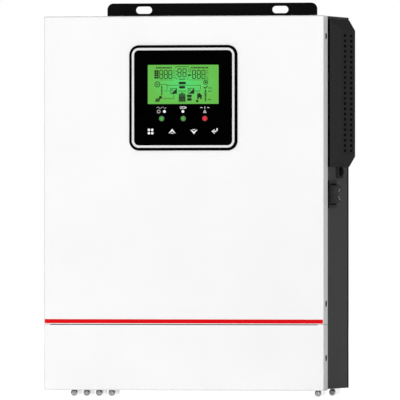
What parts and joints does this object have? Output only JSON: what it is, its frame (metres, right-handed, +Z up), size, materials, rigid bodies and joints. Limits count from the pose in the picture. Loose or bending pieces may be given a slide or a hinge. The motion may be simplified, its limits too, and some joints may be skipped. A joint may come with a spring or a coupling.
{
  "type": "string inverter",
  "caption": "Flat wall-hung solar inverter: white front covers, square display panel, vented side covers, rocker switch and slotted wall bracket.",
  "frame": {"origin": "midway between the two slots of the wall bracket, on the wall's surface", "axes": "+Z up, +Y into the wall, the display faces -Y"},
  "size_m": [0.2938, 0.1213, 0.3848],
  "materials": {
    "white_powder_coat": "fine satin powder coat",
    "charcoal_paint": "satin charcoal paint",
    "black_bracket_paint": "satin black paint",
    "red_trim": "smooth red film",
    "black_screws": "black zinc",
    "zinc_hardware": "dull zinc plate",
    "zinc_sheet": "zinc-plated sheet",
    "black_abs": "fine moulded texture",
    "display_black": "polished",
    "ring_silver": "pale satin",
    "lcd_green": "lit display",
    "lamp_green": "translucent lens",
    "lamp_red": "translucent lens",
    "rocker_black": "smooth nylon",
    "white_plastic": "moulded",
    "circuit_board": "solder resist",
    "filter_foam": "open-cell foam",
    "sink_aluminium": "extruded",
    "ferrite": "sintered",
    "copper_winding": "enamelled wire and tape",
    "capacitor_sleeve": "shrunk sleeve",
    "relay_case": "moulded case",
    "brass_parts": "turned",
    "terminal_green": "moulded",
    "grommet_rubber": "moulded",
    "ribbon_grey": "flat cable"
  },
  "bodies": {
    "housing": {"upper_cover": "white_powder_coat", "lower_cover": "white_powder_coat", "red_stripe": "red_trim", "upper_cover_screws": "black_screws", "lower_cover_screws": "black_screws", "side_panel_right": "charcoal_paint", "side_panel_left": "charcoal_paint", "back_panel": "charcoal_paint", "top_panel": "charcoal_paint", "bottom_panel": "charcoal_paint", "front_rail": "charcoal_paint", "wall_bracket": "black_bracket_paint", "lower_spacer": "black_bracket_paint", "bracket_screws": "black_screws", "display_housing": "black_abs", "display_ring": "ring_silver", "face_panel": "display_black", "lcd_cell": "lcd_green", "lcd_frame": "white_plastic", "display_board": "circuit_board", "green_lamps": "lamp_green", "red_lamp": "lamp_red", "vent_cover_right": "black_abs", "vent_cover_left": "black_abs", "vent_cover_screws": "black_screws", "dust_filter": "filter_foam", "switch_body": "black_abs", "switch_blades": "brass_parts", "fan_frame_lower": "black_abs", "fan_frame_upper": "black_abs", "fan_screws": "black_screws", "power_board": "circuit_board", "board_posts": "zinc_hardware", "board_screws": "zinc_hardware", "heat_sink_upper": "sink_aluminium", "heat_sink_lower": "sink_aluminium", "power_transistors": "black_abs", "transformer_core": "ferrite", "transformer_winding": "copper_winding", "chokes": "copper_winding", "bus_capacitors": "capacitor_sleeve", "relays": "relay_case", "control_card": "circuit_board", "display_ribbon": "ribbon_grey", "terminal_blocks": "terminal_green", "terminal_screws": "zinc_hardware", "battery_posts": "brass_parts", "battery_base": "black_abs", "battery_nuts": "zinc_hardware", "battery_fuse": "white_plastic", "cable_grommets": "grommet_rubber", "clamp_lugs": "zinc_sheet", "clamp_screws": "zinc_hardware", "reset_breaker": "black_abs", "ports": "white_plastic", "earth_screw": "zinc_hardware"},
    "power_rocker": {"switch_rocker": "rocker_black"},
    "fan_lower": {"fan_rotor_lower": "rocker_black"},
    "fan_upper": {"fan_rotor_upper": "rocker_black"},
    "breaker_button": {"reset_button": "rocker_black"}
  },
  "joints": [
    {"name": "power_switch", "type": "hinge", "parent": "housing", "child": "power_rocker", "pos_m": [0.1369, -0.0797, -0.1815], "axis": [0, 1, 0], "range_deg": [-8, 8]},
    {"name": "lower_fan_spin", "type": "hinge", "parent": "housing", "child": "fan_lower", "pos_m": [-0.1252, -0.059, -0.11495], "axis": [1, 0, 0], "continuous": true},
    {"name": "upper_fan_spin", "type": "hinge", "parent": "housing", "child": "fan_upper", "pos_m": [-0.1252, -0.059, -0.05095], "axis": [1, 0, 0], "continuous": true},
    {"name": "breaker_press", "type": "slide", "parent": "housing", "child": "breaker_button", "axis": [0, 0, 1], "range_m": [0, 0.002], "stiffness_N_per_m": 400, "springref_m": -0.002}
  ]
}
